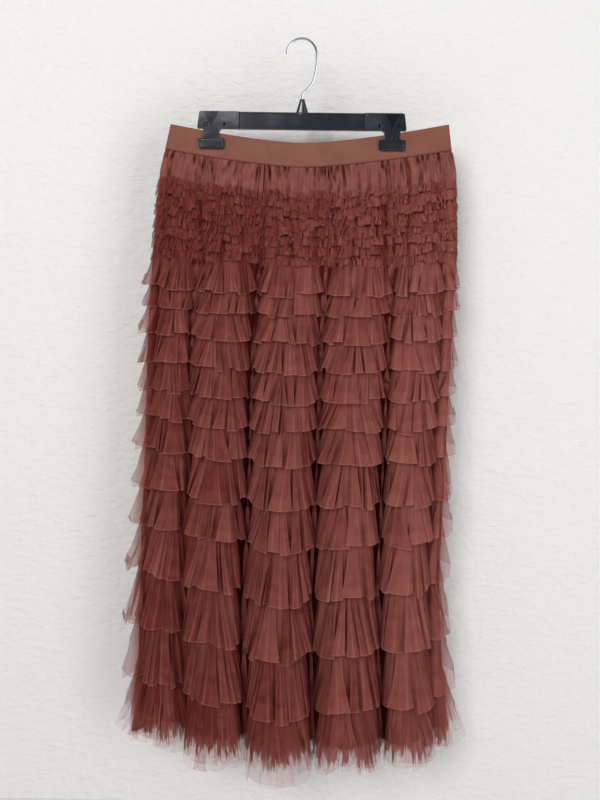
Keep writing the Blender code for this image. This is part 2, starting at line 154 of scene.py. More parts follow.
off_white = (0.80, 0.795, 0.79, 1)
floor_finish, *_ = finish_named("pale_floor", Roughness=0.9, Base_Color=off_white)
wall_finish, wall_shader, wall_start = finish_named("pale_wall", Roughness=0.9,
                                                    Base_Color=off_white)
wall_place = wall_start.made_by("TexCoord", {}, {}, 3)
wall_strokes = wall_start.made_by("Mapping", {}, {"Vector": wall_place, "Scale": (62, 62, 115)})
plaster = wall_start.made_by("TexNoise", {}, {"Vector": wall_strokes, "Scale": 1.0, "Detail": 4.0})
feed(wall_shader, Normal=wall_start.made_by(
    "Bump", {}, {"Strength": 0.8, "Distance": 0.005, "Height": plaster}))
behind = wall_start.made_by("NewGeometry", {}, {}, 6)
clear = wall_start.made_by("BsdfTransparent", {}, {})
painted = Dye(wall_start.tree, wall_shader.outputs[0])
one_sided = wall_start.made_by("MixShader", {}, {0: behind, 1: painted, 2: clear})
wall_start.tree.links.new(one_sided.socket,
                          wall_start.tree.nodes["Material Output"].inputs["Surface"])


def studio_sheet(name, corners, finish):
    """A flat floor or wall that isn't part of the object."""
    mesh = bpy.data.meshes.new(name)
    mesh.from_pydata(corners, [], [(0, 1, 2, 3)])
    sheet = bpy.data.objects.new(name, mesh)
    bpy.context.scene.collection.objects.link(sheet)
    mesh.materials.append(finish)


floor_height, floor_reach = -1.26, 6
studio_sheet("floor", [(-floor_reach, -floor_reach, floor_height),
                       (floor_reach, -floor_reach, floor_height),
                       (floor_reach, floor_reach, floor_height),
                       (-floor_reach, floor_reach, floor_height)], floor_finish)
wall_depth, wall_top, wall_reach = 0.090, 1.5, 3
studio_sheet("wall", [(-wall_reach, wall_depth, floor_height),
                      (wall_reach, wall_depth, floor_height),
                      (wall_reach, wall_depth, wall_top),
                      (-wall_reach, wall_depth, wall_top)], wall_finish)


# ---- Hanger -----------------------------------------------------------------
# A moulded black plastic skirt hanger: a bar with two sprung clips and a bright wire hook. Its
# two end plates are duller and scuffed, the scuffs lightened partly as painted highlight, and
# above each clip a smooth fan shape is painted darker as shade.

HOOK_X = 0.0015
END_PLATE_START = 0.0915        # from the hook, as is the next
CLIP_MIDDLE = 0.132
FAN_HALF = 0.0620               # half its width at the height of the hook's seat
FAN_SLOPE = 0.5
FAN_FOOT = -0.123

black, black_shader, black_start = finish_named("black_moulding", Specular_IOR_Level=0.6)
black_place = black_start.made_by("TexCoord", {}, {}, 3)
black_across = black_start.made_by("SeparateXYZ", {}, {"Vector": black_place}, 0)
black_up = black_start.made_by("SeparateXYZ", {}, {"Vector": black_place}, 2)
from_hook = black_start.math("ABSOLUTE", black_across - HOOK_X)
end_plate = from_hook.between(END_PLATE_START - 0.0003, END_PLATE_START + 0.0003)
off_clip = black_start.math("ABSOLUTE", from_hook - CLIP_MIDDLE)
# Painted shade: a smooth fan-shaped patch above each clip, drawn darker in the shader mix below.
smooth_fan_painted_dark = 1 - (off_clip - black_up * FAN_SLOPE - FAN_HALF).between(-0.0012, 0.0012)
smooth_fan_painted_dark = smooth_fan_painted_dark * end_plate * black_up.between(FAN_FOOT - 0.001, FAN_FOOT + 0.001)
sink_marks = black_start.made_by("TexNoise", {}, {"Vector": black_place, "Scale": 42.0,
                                                  "Detail": 1.0})
handling = black_start.made_by("TexNoise", {}, {"Vector": black_place, "Scale": 18.0,
                                                "Detail": 6.0})
grain = black_start.made_by("TexNoise", {}, {"Vector": black_place, "Scale": 1800.0,
                                             "Detail": 2.0})
upright = black_start.made_by("Mapping", {}, {"Vector": black_place, "Scale": (380, 380, 70)})
# Upright scuffs on the end plates, lightened partly as real wear and partly as painted highlight.
scuffs_and_sheen = black_start.made_by("TexNoise", {}, {"Vector": upright, "Scale": 1.0, "Detail": 3.0})
scuffs_and_sheen = scuffs_and_sheen.between(0.56, 0.76) * end_plate * (1 - smooth_fan_painted_dark)
soft_edges = black_start.made_by("Bevel", {"samples": 4}, {"Radius": 0.0006})
face = black_start.made_by("NewGeometry", {}, {}, 3)
flatness = black_start.made_by("VectorMath", {"operation": "DOT_PRODUCT"},
                               {0: soft_edges, 1: face}, 1)
# Painted highlight: the rims of all edges are drawn light grey.
painted_edge_highlight = (1 - flatness).between(0.01, 0.16)
relief = sink_marks * (0.12 + end_plate * 0.88)
moulded = black_start.made_by("Bump", {}, {"Strength": 0.3, "Distance": 0.0014,
                                           "Height": relief, "Normal": soft_edges})
black_plain = handling.between(0.42, 0.62).blend((0.011, 0.012, 0.018, 1),
                                                 (0.015, 0.017, 0.025, 1))
black_scuffed_and_highlit = (scuffs_and_sheen * 0.22 + painted_edge_highlight * 0.7).blend(black_plain, (0.140, 0.145, 0.155, 1))
feed(black_shader,
     Base_Color=black_scuffed_and_highlit,
     Roughness=0.13 + handling.between(0.40, 0.66) * (0.04 + end_plate * 0.12) + grain * 0.04,
     Normal=moulded)
# Painted shade: inner corners, found by occlusion, are mixed towards an unlit black below.
corners = black_start.made_by("AmbientOcclusion", {"samples": 4, "only_local": True},
                              {"Distance": 0.0025}, 1)
unlit = black_start.made_by("BsdfDiffuse", {}, {"Color": (0.002, 0.002, 0.003, 1)})
glossy = Dye(black_start.tree, black_shader.outputs[0])
shadowed = black_start.made_by("MixShader", {}, {
    0: corners.between(0.50, 0.86) * (1 - smooth_fan_painted_dark * 0.5), 1: unlit, 2: glossy})
black_start.tree.links.new(shadowed.socket,
                           black_start.tree.nodes["Material Output"].inputs["Surface"])

wire, wire_shader, wire_start = finish_named("bright_wire", Metallic=1.0)
wire_place = wire_start.made_by("TexCoord", {}, {}, 3)
drawn = wire_start.made_by("TexNoise", {}, {"Vector": wire_place, "Scale": 500.0, "Detail": 3.0})
# Painted shade: the wire is drawn darker where its surface turns away from view.
painted_edge_shade = wire_start.made_by("LayerWeight", {}, {"Blend": 0.5}, 1).between(0.25, 0.90)
steel = drawn.between(0.3, 0.7).blend((0.42, 0.42, 0.43, 1), (0.56, 0.56, 0.57, 1))
feed(wire_shader,
     Base_Color=painted_edge_shade.blend(steel, (0.10, 0.10, 0.105, 1)),
     Roughness=0.16 + drawn * 0.14)

leaf, leaf_shader, leaf_start = finish_named("spring_steel", Metallic=1.0)
leaf_place = leaf_start.made_by("TexCoord", {}, {}, 3)
rolled = leaf_start.made_by("TexNoise", {}, {"Vector": leaf_place, "Scale": 900.0, "Detail": 4.0})
feed(leaf_shader,
     Base_Color=rolled.between(0.35, 0.7).blend((0.42, 0.42, 0.44, 1), (0.52, 0.52, 0.53, 1)),
     Roughness=0.26 + rolled * 0.2)

for node, finish in (("hanger_bar", black), ("clip_lever_left", black),
                     ("clip_lever_right", black), ("hanger_hook", wire),
                     ("clip_spring_left", leaf), ("clip_spring_right", leaf)):
    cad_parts[node].data.materials.clear()
    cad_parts[node].data.materials.append(finish)


# ---- Waistband --------------------------------------------------------------
# A ring of smooth elastic webbing, 35 mm deep, stitched to the gathered cloth below it. It
# follows the top of the skirt's outline, which every lower section uses too.

BAND_TOP, BAND_BOTTOM = -0.1450, -0.1800
BAND_DEPTH = 0.035
PLAN_HEIGHT = -0.6              # where a place's share of the way round is measured

OUTLINE = np.array((
    # height, half width, centre x, half depth, fold depth, roundness, sag
    (-0.1450, 0.2035, 0.0130, 0.0035, 0.0000, 30.0, 0.0270),
    (-0.1800, 0.2105, 0.0115, 0.0035, 0.0000, 30.0, 0.0255),
    (-0.2085, 0.2170, 0.0110, 0.0110, 0.0020, 10.0, 0.0240),
    (-0.3185, 0.2260, 0.0080, 0.0200, 0.0070, 5.0, 0.0140),
    (-0.4200, 0.2290, 0.0020, 0.0270, 0.0125, 4.0, 0.0120),
    (-0.6200, 0.2320, -0.0030, 0.0320, 0.0175, 3.5, 0.0140),
    (-0.8500, 0.2370, -0.0100, 0.0345, 0.0195, 3.0, 0.0300),
    (-1.1200, 0.2500, -0.0040, 0.0370, 0.0205, 3.0, 0.0350),
))
FRONT_FOLDS = (-1.00, -0.94, -0.70, -0.30, 0.15, 0.585, 0.93, 1.00)
BACK_FOLDS = (-1.00, -0.93, -0.52, -0.10, 0.34, 0.74, 0.94, 1.00)
FULL_COLUMN = 0.36
SAG_POWER = 1.45


def outline_at(height):
    """Half width, centre, half depth, fold depth, roundness and sag at a height."""
    rising = OUTLINE[::-1]
    return [np.interp(height, rising[:, 0], rising[:, column]) for column in range(1, 7)]


def lie_of_folds(across, folds):
    """Lift (-1 in a fold, 1 on a crest), place in its column (0 to 1), and column ends."""
    folds = np.array(folds)
    column = np.clip(np.searchsorted(folds, across, side="right") - 1, 0, len(folds) - 2)
    start, end = folds[column], folds[column + 1]
    share = np.clip((across - start) / (end - start), 0, 1)
    crest = 2 * np.minimum(1.0, (end - start) / FULL_COLUMN)
    return crest * np.sin(math.pi * share) ** 0.8 - 1, share, start, end


def plan(height, across, facing, lift):
    """The base's outline at a height: x and y of each place round it."""
    half_width, centre, half_depth, fold_depth, roundness, _ = outline_at(height)
    swell = np.sqrt(np.clip(1 - np.abs(across) ** roundness, 0, None))
    return np.stack([centre + half_width * across,
                     facing * (half_depth + fold_depth * lift) * swell], axis=-1)


def climb(height, x):
    """How much higher a place hangs than the middle of the front."""
    half_width, _, _, _, _, sag = outline_at(height)
    return sag * (np.abs(x - HOOK_X) / half_width) ** SAG_POWER


class Ring:
    """The closed way round the base at one height, in shares of its real length."""

    def __init__(self, height, steps=5000, spacing=8, blur=20):
        turn = np.linspace(-math.pi / 2, math.pi / 2, steps)
        across = np.concatenate([np.sin(turn), np.sin(-turn)[1:-1]])
        facing = np.concatenate([np.full(steps, -1.0), np.full(steps - 2, 1.0)])
        front, back = lie_of_folds(across, FRONT_FOLDS), lie_of_folds(across, BACK_FOLDS)
        lift, share, start, end = [np.where(facing < 0, a, b) for a, b in zip(front, back)]
        reference = plan(PLAN_HEIGHT, across, facing, lift)
        closed = np.concatenate([reference, reference[:1]])
        along = np.concatenate([[0], np.cumsum(np.linalg.norm(np.diff(closed, axis=0), axis=1))])
        self.turn = along / along[-1]
        points = plan(height, across, facing, lift)
        half_width, centre, *_ = outline_at(height)
        run = np.roll(points, -spacing, axis=0) - np.roll(points, spacing, axis=0)
        run /= np.linalg.norm(run, axis=1)[:, None]
        normal = np.stack([run[:, 1], -run[:, 0]], axis=1)
        kernel = np.hanning(2 * blur + 1)
        kernel /= kernel.sum()
        for axis in range(2):
            wrapped = np.concatenate([normal[-blur:, axis], normal[:, axis],
                                      normal[:blur, axis]])
            normal[:, axis] = np.convolve(wrapped, kernel, mode="valid")
        normal /= np.linalg.norm(normal, axis=1)[:, None]
        closed = np.concatenate([points, points[:1]])
        self.length = np.linalg.norm(np.diff(closed, axis=0), axis=1).sum()
        gap = np.sin(math.pi * share)
        self.columns = np.column_stack([points, normal, gap, share,
                                        centre + half_width * start, centre + half_width * end])

    def at(self, place):
        """x, y, normal x, normal y, fullness of the column, share of it and its ends' x."""
        place = np.mod(place, 1.0)
        wrapped = np.concatenate([self.columns, self.columns[:1]])
        return [np.interp(place, self.turn, wrapped[:, column]) for column in range(8)]


def sheet_of(name, points, cloth, closed=True):
    """A mesh from a grid of points (rows down, columns round) and its place in the cloth."""
    rows, count = points.shape[:2]
    last = count if closed else count - 1
    here = np.arange(last)
    beside = (here + 1) % count
    quads = []
    for row in range(rows - 1):
        upper, lower = row * count, (row + 1) * count
        quads.append(np.stack([upper + here, lower + here, lower + beside, upper + beside], 1))
    quads = np.concatenate(quads)
    mesh = bpy.data.meshes.new(name)
    mesh.from_pydata(points.reshape(-1, 3).tolist(), [], quads.tolist())
    layer = mesh.uv_layers.new(name="cloth")
    uv = cloth.reshape(-1, 2)[quads.reshape(-1)]
    if closed:
        step = np.tile(here == count - 1, rows - 1)
        width = cloth[0, -1, 0] * count / (count - 1)
        uv = uv.reshape(-1, 4, 2)
        uv[step, 2:, 0] += width
        uv = uv.reshape(-1, 2)
    layer.data.foreach_set("uv", uv.astype(np.float32).ravel())
    mesh.polygons.foreach_set("use_smooth", np.ones(len(quads), bool))
    mesh.update()
    piece = bpy.data.objects.new(name, mesh)
    bpy.context.scene.collection.objects.link(piece)
    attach(piece, "root")
    return piece


elastic, elastic_shader, elastic_start = finish_named("elastic_webbing", Specular_IOR_Level=0.2)
elastic_cloth = elastic_start.made_by("UVMap", {"uv_map": "cloth"}, {})
elastic_along = elastic_start.made_by("SeparateXYZ", {}, {"Vector": elastic_cloth}, 0)
elastic_above = elastic_start.made_by("SeparateXYZ", {}, {"Vector": elastic_cloth}, 1)
ribs = elastic_start.math("SINE", elastic_above * 5200)
rubber = elastic_start.math("SINE", elastic_along * 6800)
drawn_out = elastic_start.made_by("Mapping", {}, {"Vector": elastic_cloth, "Scale": (60, 900, 1)})
slubs = elastic_start.made_by("TexNoise", {}, {"Vector": drawn_out, "Scale": 1.0, "Detail": 4.0})
faded = elastic_start.made_by("TexNoise", {}, {"Vector": elastic_cloth, "Scale": 26.0,
                                               "Detail": 5.0})
woven = ribs * 0.5 + rubber * 0.35 + slubs
# Painted shade: the band is drawn darker over its lowest 3.5 mm, along the seam, and half as dark
# along its top edge.
clear_of_edge_shade = elastic_above.between(0.0, 0.0035)
clear_of_edge_shade = clear_of_edge_shade * (1 - elastic_above.between(BAND_DEPTH - 0.0015, BAND_DEPTH) * 0.5)
web_tone = (woven * 0.16 + faded.between(0.3, 0.7) * 0.5 + 0.2).between(0.0, 1.0)
web_colour = web_tone.blend((0.188, 0.071, 0.051, 1), (0.228, 0.091, 0.068, 1))
feed(elastic_shader,
     Base_Color=clear_of_edge_shade.blend((0.120, 0.034, 0.024, 1), web_colour),
     Roughness=0.82 + slubs * 0.16,
     Normal=elastic_start.made_by("Bump", {}, {"Strength": 0.35, "Distance": 0.0003,
                                               "Height": woven}))

band_rows = np.linspace(0, 1, 24)
band_ring_top, band_ring_low = Ring(BAND_TOP), Ring(BAND_BOTTOM)
band_places = np.linspace(0, 1, 800, endpoint=False)
top_x, top_y, *_ = band_ring_top.at(band_places)
low_x, low_y, *_ = band_ring_low.at(band_places)
band = np.zeros((len(band_rows), len(band_places), 3))
for number, share in enumerate(band_rows):
    x, y = top_x + (low_x - top_x) * share, top_y + (low_y - top_y) * share
    height = BAND_TOP - BAND_DEPTH * share
    band[number] = np.stack([x, y, height + climb(height, x)], axis=1)
band_cloth = np.stack(np.meshgrid(band_places * band_ring_top.length,
                                  BAND_DEPTH * (1 - band_rows)), -1)
waistband = sheet_of("waistband_elastic", band, band_cloth)
waistband.data.materials.append(elastic)
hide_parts("waistband")


# ---- Gathered base ----------------------------------------------------------
# Front and back panels of opaque cloth, gathered into the band in fine upright folds. Only
# their top 30 mm shows plainly; below, they back the net.

BASE_TOP, BASE_STITCH, BASE_HEM = -0.172, -0.1795, -1.072
PANEL_WIDTH = 0.9               # of the cloth's pattern, side seam to side seam
DEEPEST_CREASE = 0.0065
DEEPEST_PUCKER = 0.0060
BASE_COLUMN, NET_COLUMN = 4, 3  # of DROOP below, for how low the base or the net ends

base_finish, base_shader, base_start = finish_named("gathered_base_cloth", Roughness=1.0,
                                                    Specular_IOR_Level=0.05)
base_cloth = base_start.made_by("UVMap", {"uv_map": "cloth"}, {})
base_above = base_start.made_by("SeparateXYZ", {}, {"Vector": base_cloth}, 1)
base_upright = base_start.made_by("Mapping", {}, {"Vector": base_cloth, "Scale": (330, 24, 1)})
gathers = base_start.made_by("TexNoise", {}, {"Vector": base_upright, "Scale": 1.0,
                                              "Detail": 3.0})
patchy = base_start.made_by("TexNoise", {}, {"Vector": base_cloth, "Scale": 70.0, "Detail": 4.0})
mesh_grain = base_start.made_by("TexNoise", {}, {"Vector": base_cloth, "Scale": 1400.0,
                                                 "Detail": 2.0})
# Painted shade: creases and hollows, found by occlusion, are drawn dark red.
depth = base_start.made_by("AmbientOcclusion", {"samples": 4, "only_local": True},
                           {"Distance": 0.012}, 1)
base_tone = gathers.between(0.34, 0.66) * 0.55 + patchy.between(0.3, 0.7) * 0.45
base_plain = base_tone.blend((0.185, 0.055, 0.043, 1), (0.268, 0.098, 0.079, 1))
base_crease_shade = depth.between(0.30, 0.92).blend((0.060, 0.009, 0.007, 1), base_plain)
# Painted shade: below the first ruffle's heading, where the net covers it, the base is drawn
# nearly black, darkest towards the bottom.
under_net = (base_above + patchy * 0.02).between(0.838, 0.864)
painted_valley_shade = base_above.between(0.45, 0.76).blend((0.022, 0.003, 0.002, 1),
                                                 (0.062, 0.009, 0.007, 1))
feed(base_shader,
     Base_Color=under_net.blend(painted_valley_shade, base_crease_shade),
     Normal=base_start.made_by("Bump", {}, {"Strength": 0.3, "Distance": 0.0004,
                                            "Height": gathers + mesh_grain * 0.5}))

DROOP = np.array((
    # x of a column of the front; how low it hangs at the top, at tier 12, at the net's hem
    # and at the hem of the base
    (-0.204, 0.002, -0.005, -0.016, 0.000),
    (-0.124, 0.003, -0.003, -0.011, 0.004),
    (-0.020, 0.001, 0.015, 0.013, 0.002),
    (0.076, 0.003, 0.000, -0.023, 0.010),
    (0.165, 0.005, 0.018, -0.006, 0.022),
))
GROOVES = (
    # x of a crease, how deep it is next to the deepest
    (-0.192, 0.5), (-0.171, 0.3), (-0.147, 1.0), (-0.127, 0.4), (-0.108, 0.9), (-0.086, 0.5),
    (-0.069, 0.3), (-0.052, 1.0), (-0.033, 0.4), (-0.015, 0.9), (0.004, 0.3), (0.026, 0.5),
    (0.050, 0.9), (0.066, 0.4), (0.083, 0.8), (0.104, 0.4), (0.128, 1.0), (0.144, 0.5),
    (0.160, 0.8), (0.181, 0.4), (0.201, 0.5),
)


def droop(height, x, lowest_hem=NET_COLUMN):
    """How far a column hangs below its neighbours, for the net or for the base."""
    upper, lower, hem = [np.interp(x, DROOP[:, 0], DROOP[:, column])
                         for column in (1, 2, lowest_hem)]
    low = np.clip((-0.34 - height) / 0.66, 0, 1)
    lowest = np.clip((-1.01 - height) / 0.08, 0, 1)
    return upper + (lower - upper) * low + (hem - lower) * lowest


def groove(height, x):
    """Narrow creases that run down the gathered top and fade out below the yoke."""
    near = sum(size * np.exp(-((x - place - 0.10 * (height + 0.25) * math.sin(place * 99))
                               / (0.0016 + 0.0014 * size)) ** 2) for place, size in GROOVES)
    return near * np.interp(height, (-0.42, -0.32, -0.24, -0.185), (0.0, 0.007, 0.006, 0.001))


def waves(dice, length, count, shortest, longest):
    """Uneven folds along a length: -1 to 1, each from one to the other wavelength long."""
    lengths = dice.uniform(shortest, longest, int(length / shortest) + 4)
    edges = np.cumsum(lengths)
    edges = edges[edges < length - shortest]
    edges = np.concatenate([[0], edges * length / edges[-1]])
    phase = np.interp(np.linspace(0, length, count, endpoint=False), edges,
                      np.arange(len(edges)))
    size = dice.uniform(0.45, 1.0, len(edges))
    size[-1] = size[0]
    return np.sin(2 * math.pi * phase) * np.interp(phase, np.arange(len(edges)), size)


base_count, pucker_count = 1900, 190
base_places = np.linspace(0, 1, base_count, endpoint=False)
base_heights = np.concatenate([(BASE_TOP, -0.1785), np.linspace(-0.1805, -0.215, 10),
                               np.linspace(-0.24, BASE_HEM, 34)])
dice = np.random.default_rng(7)
fine = waves(dice, 1.0, base_count, 0.0045, 0.010)
broad = waves(dice, 1.0, base_count, 0.012, 0.030)
puckers = np.column_stack([dice.uniform(least, most, pucker_count) for least, most in (
    (0, 1),                     # place round the waist
    (0.0008, 0.0055),           # depth
    (0.0008, 0.0022),           # width
    (0.005, 0.036),             # how far down it runs
    (-0.55, 0.55),              # how much it leans
)])


def pucker(places, length, down):
    """How deep the creases are that run down from the stitches of the band."""
    away = (places[:, None] - puckers[None, :, 0] + 0.5) % 1.0 - 0.5
    away = away * length - puckers[None, :, 4] * down
    spread = puckers[None, :, 2] * (1 + down / 0.03)
    fading = np.exp(-(down / puckers[None, :, 3]) ** 2) * min(1, 0.35 + down / 0.006)
    creases = puckers[None, :, 1] * fading * np.exp(-(away / spread) ** 2)
    return np.minimum(creases.sum(1), DEEPEST_PUCKER)


base_rows = []
for height in base_heights:
    ring = Ring(height)
    x, y, normal_x, normal_y, *_ = ring.at(base_places)
    down = max(0, BASE_STITCH - height)
    ripple = 0.0012 * fine * min(1, down / 0.004) * math.exp(-down / 0.25)
    ripple = ripple + 0.0016 * broad * min(1, down / 0.02) - 0.0010 + min(0.0010, down / 4)
    x, y = x + normal_x * ripple, y + normal_y * ripple
    crease = pucker(base_places, ring.length, down) if down < 0.08 else 0
    y = y - np.sign(normal_y) * np.minimum(groove(height, x) + crease, DEEPEST_CREASE)
    hang = droop(height, np.where(y > 0, -x, x), BASE_COLUMN)
    hang = hang * min(1, max(0, (-0.9 - height) / 0.15))
    base_rows.append(np.stack([x, y, height + climb(height, x) - hang], axis=1))
base_rows = np.array(base_rows)
seam = int(np.argmin(np.abs(base_places - 0.5)))
for name, part in (("base_front", slice(0, seam + 1)), ("base_back", slice(seam, None))):
    grid = base_rows[:, part]
    if name == "base_back":
        grid = np.concatenate([grid, base_rows[:, :1]], axis=1)
    wide = np.linspace(0, PANEL_WIDTH, grid.shape[1])
    cloth = np.stack(np.meshgrid(wide, base_heights - base_heights[-1]), -1)
    panel = sheet_of(name + "_cloth", grid, cloth, closed=False)
    panel.data.materials.append(base_finish)
    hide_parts(name)


# ---- Net ruffles ------------------------------------------------------------
# Strips of soft net gathered along their top edge and stitched to the base, so that they
# stand out in flattened, overlapping folds and hang in bells on the base's deep folds.

PLEATS = {
    # points as (share of the pleat's width, share of its depth)
    "box": ((0.0, 1.0), (0.5, 1.25), (1.0, 1.0), (0.86, -0.5), (1.04, -1.0)),
    "right": ((0.0, -0.6), (0.35, 0.4), (1.0, 1.0), (0.84, -0.2), (0.84, -1.0)),
    "left": ((-0.06, 1.0), (0.65, 0.5), (1.0, -0.6), (1.02, -1.0)),
    "vee": ((0.0, -0.7), (0.5, 1.0), (1.0, -0.7)),
    "flat": ((0.0, 0.1), (0.5, 0.5), (1.0, 0.1)),
}
OFTEN = (0.30, 0.25, 0.25, 0.14, 0.06)
TURN_PLACE, TURN_STRAY, TURN_WIDTH = 0.75, 0.07, 0.05  # shares of a column's width
TUCK = 0.75                     # how much of its flare a turned side loses
HEADING_REACH, REACH_STRAY = 0.79, 0.07  # share of a column's half width that is filled
NARROWEST_HALF, OUTERMOST_MIDDLE = 0.02, 0.19  # of the wide columns, not the side seams
HIGHEST_FLICK = 0.004


def pleated_line(dice, length, widths, depths, narrow=0.45):
    """The hem's line in plan: metres round, metres out, and a number from -1 to 1 a pleat."""
    line, place = [], 0.0
    kinds = list(PLEATS)
    while place < length:
        kind = kinds[dice.choice(len(kinds), p=OFTEN)]
        width = dice.uniform(*widths) * (dice.uniform(0.35, 0.5) if dice.random() < narrow else 1)
        depth, rise = dice.uniform(*depths), dice.uniform(-1, 1)
        for share, out in PLEATS[kind]:
            line.append((place + share * width, out * depth, rise))
        place += PLEATS[kind][-1][0] * width + dice.uniform(-0.001, 0.003)
    line = np.array(line)
    line[:, 0] *= length / place
    return line


def eased(value, limit, soft=0.25):
    """A share from -1 to 1 of the way to a neighbour, slowed so that it stays under a limit."""
    size = np.abs(value)
    free = limit - soft
    slowed = free + soft * np.tanh((size - free) / soft)
    return np.sign(value) * np.where(size > free, slowed, size)


def smoothed(values, spots, total, reach, count=3000):
    """Values along the closed cloth, averaged over a stretch of it."""
    even = np.linspace(0, total, count, endpoint=False)
    steady = np.interp(even, spots, values)
    bell = np.exp(-0.5 * (np.minimum(even, total - even) / reach) ** 2)
    soft = np.fft.irfft(np.fft.rfft(steady) * np.fft.rfft(bell / bell.sum()), count)
    return np.interp(spots, even, soft, period=total)


def turned(share, start, seed):
    """How far a place is turned back into the fold at its column's right side, 0 to 1."""
    strayed = TURN_STRAY * np.sin(seed * 3 + start * 700)
    return np.clip((share - TURN_PLACE - strayed) / TURN_WIDTH, 0, 1)


def in_its_column(x, start, end, down, room, seed):
    """x squeezed into its column, and how far the column's edge there flicks up, 0 to 1."""
    if room is None:
        return x, 0
    middle, half = (start + end) / 2, (end - start) / 2
    inner = (half > NARROWEST_HALF) & (np.abs(middle) < OUTERMOST_MIDDLE)
    aside = (x - middle) / np.maximum(half, 1e-6) * (1 + 0.12 * down)
    bound = np.where(aside > 0, end, start)
    reach = room + REACH_STRAY * np.sin(seed * 7 + bound * 900 + (aside > 0) * 2)
    aside = eased(aside, HEADING_REACH + (reach - HEADING_REACH) * down)
    flick = np.clip((np.abs(aside) - 0.6) / 0.4, 0, 1) ** 2 * down ** 2
    return np.where(inner, middle + half * aside, x), np.where(inner, flick, 0)


def ruffle(name, nodes, top, hem, flare, widths, depths, finish, seed, step=0.0018, rows=14,
           uneven=0.004, puff=0.5, gather=0.0016, narrow=0.45, lean=0.007, swell=0.35,
           crumple=0.0, wobble=0.0, room=None, outward=0.8, lowest_hem=NET_COLUMN):
    """One strip of net round the skirt. Its hem follows a line of pleats of mixed widths and
    depths, and the pleats narrow to small gathers at its heading. The right side of each column
    turns back into its fold. A strip with room is also squeezed towards the middle of its
    columns, most at its heading."""
    dice = np.random.default_rng(seed)
    heading, edge = Ring(top), Ring(hem)
    corners = pleated_line(dice, edge.length, widths, depths, narrow)
    corners = np.concatenate([corners, [(edge.length + corners[0, 0], *corners[0, 1:])]])
    runs = np.hypot(np.diff(corners[:, 0]), np.diff(corners[:, 1]))
    pieces = np.maximum(1, np.round(runs / step)).astype(int)
    along = np.concatenate([[0], np.cumsum(runs)])
    spots = np.concatenate([np.linspace(along[i], along[i + 1], n, endpoint=False)
                            for i, n in enumerate(pieces)])
    total = along[-1]
    fabric = spots / total
    hem_place = np.interp(spots, along, corners[:, 0]) / edge.length
    out = np.interp(spots, along, corners[:, 1])
    stray = smoothed(hem_place - fabric, spots, total, 0.035)
    drift = waves(dice, total, len(spots), 0.05, 0.20) * lean / heading.length
    head_place = fabric + stray + drift
    fine = waves(dice, total, len(spots), 0.007, 0.014)
    swing = waves(dice, total, len(spots), 0.05, 0.16)
    rise = waves(dice, total, len(spots), 0.08, 0.20) * wobble
    crease = waves(dice, total, len(spots), 0.005, 0.012)
    hem_lift = np.interp(spots, along, corners[:, 2]) * uneven
    down = np.linspace(0, 1, rows)
    grid = np.zeros((rows, len(spots), 3))
    for row, v in enumerate(down):
        place = head_place + (hem_place - head_place) * v ** 0.8
        x0, y0, nx0, ny0, *_ = heading.at(place)
        x1, y1, nx1, ny1, full, share, start, end = edge.at(place)
        weight = 0.2 + 0.8 * full ** 0.6
        nx, ny = nx0 + (nx1 - nx0) * v, ny0 + (ny1 - ny0) * v
        fold = out * v ** 0.7 * (0.45 + 0.55 * full)
        fold = fold + gather * fine * (1 - v) ** 1.5 * min(1, 0.3 + 6 * v)
        fold = fold + crumple * crease * math.sin(3 + 7 * v)
        turn = turned(share, start, seed)
        tuck = TUCK * flare * full * turn * turn * (3 - 2 * turn) * v ** 0.5
        forward = 0.0010 + flare * weight * (1 + swell * swing) * v ** puff + fold - tuck
        sideways = 0.0010 + flare * np.where(nx < 0, max(1.1, outward), outward) * v ** 1.2 + fold
        x = x0 + (x1 - x0) * v + nx * sideways
        height = top + (hem - top) * v
        y = y0 + (y1 - y0) * v + ny * forward - np.sign(ny) * groove(height, x)
        x, flick = in_its_column(x, start, end, v, room, seed)
        facing_x = np.where(y > 0, -x, x)
        low = top + climb(top, x0) - droop(top, facing_x)
        high = hem + climb(hem, x1) - droop(hem, facing_x, lowest_hem) + hem_lift
        z = low + (high - low) * v + rise + HIGHEST_FLICK * flick
        grid[row] = np.stack([x, y, z], axis=1)
    drop = top - hem
    cloth = np.stack(np.meshgrid(fabric * total, drop * (1 - down)), -1)
    piece = sheet_of(name, grid, cloth)
    edges = np.zeros(len(spots))
    edges[np.concatenate([[0], np.cumsum(pieces)[:-1]])] = 1
    half_width, centre, *_ = outline_at(hem)
    side = np.clip((np.abs(grid[..., 0] - centre) / half_width - 0.97) / 0.08, 0, 1)
    # Painted shade: the turned-back right side of each column is given a darker tone.
    tone_and_turned_shade = np.interp(spots, along, corners[:, 2]) - 3.4 * full * turn
    lie = np.stack([np.tile(tone_and_turned_shade, (rows, 1)), np.outer(down ** 0.5, edges), side], -1)
    # A pleat's own tone, darkened as painted shade where its column turns back, its fold line and
    # how far it stands out at the skirt's side.
    layer = piece.data.attributes.new("lie", "FLOAT_VECTOR", "POINT")
    layer.data.foreach_set("vector", lie.astype(np.float32).ravel())
    piece.data.materials.append(finish)
    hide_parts(*nodes)


PAINTED_SHADE_NET = (0.130, 0.016, 0.012, 1)
DARK_NET, LIGHT_NET = (0.150, 0.030, 0.024, 1), (0.306, 0.097, 0.080, 1)
DOUBLED_AND_HIGHLIT_NET, LIT_THROUGH_NET = (0.33, 0.130, 0.112, 1), (0.400, 0.112, 0.090, 1)
LAYER_GLOW = 0.07


